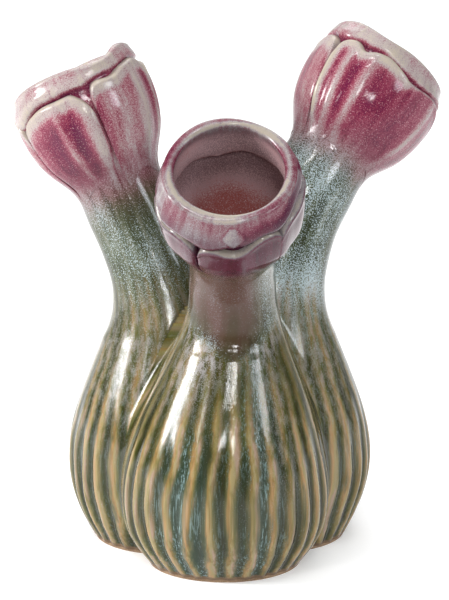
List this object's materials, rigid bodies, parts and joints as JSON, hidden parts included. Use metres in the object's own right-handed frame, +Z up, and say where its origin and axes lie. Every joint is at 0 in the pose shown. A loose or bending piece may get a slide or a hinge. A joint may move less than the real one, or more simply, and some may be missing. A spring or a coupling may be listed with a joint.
{
  "type": "vase",
  "caption": "Glazed ceramic vase of ribbed gourd-shaped bulbs joined in a trefoil, each drawn up into a bent neck that ends in an open tulip-like flower.",
  "frame": {"origin": "middle of the flat resting face, between the three bulbs", "axes": "+Z up; -Y is the front, towards which the front stem leans; +X is to the right when looking at the front"},
  "size_m": [0.1749, 0.1645, 0.2079],
  "materials": {
    "bare_clay": "matte",
    "ribbed_glaze": "gloss",
    "neck_glaze": "gloss",
    "lip_glaze": "gloss",
    "petal_glaze": "gloss"
  },
  "bodies": {
    "root": {"foot_slab": "bare_clay", "front_bulb": "ribbed_glaze", "front_neck": "neck_glaze", "front_flower_cup": "lip_glaze", "front_petal_1": "petal_glaze", "front_petal_2": "petal_glaze", "front_petal_3": "petal_glaze", "front_petal_4": "petal_glaze", "front_petal_5": "petal_glaze", "right_bulb": "ribbed_glaze", "right_neck": "neck_glaze", "right_flower_cup": "lip_glaze", "right_petal_1": "petal_glaze", "right_petal_2": "petal_glaze", "right_petal_3": "petal_glaze", "right_petal_4": "petal_glaze", "right_petal_5": "petal_glaze", "left_bulb": "ribbed_glaze", "left_neck": "neck_glaze", "left_flower_cup": "lip_glaze", "left_petal_1": "petal_glaze", "left_petal_2": "petal_glaze", "left_petal_3": "petal_glaze", "left_petal_4": "petal_glaze", "left_petal_5": "petal_glaze"}
  },
  "joints": []
}
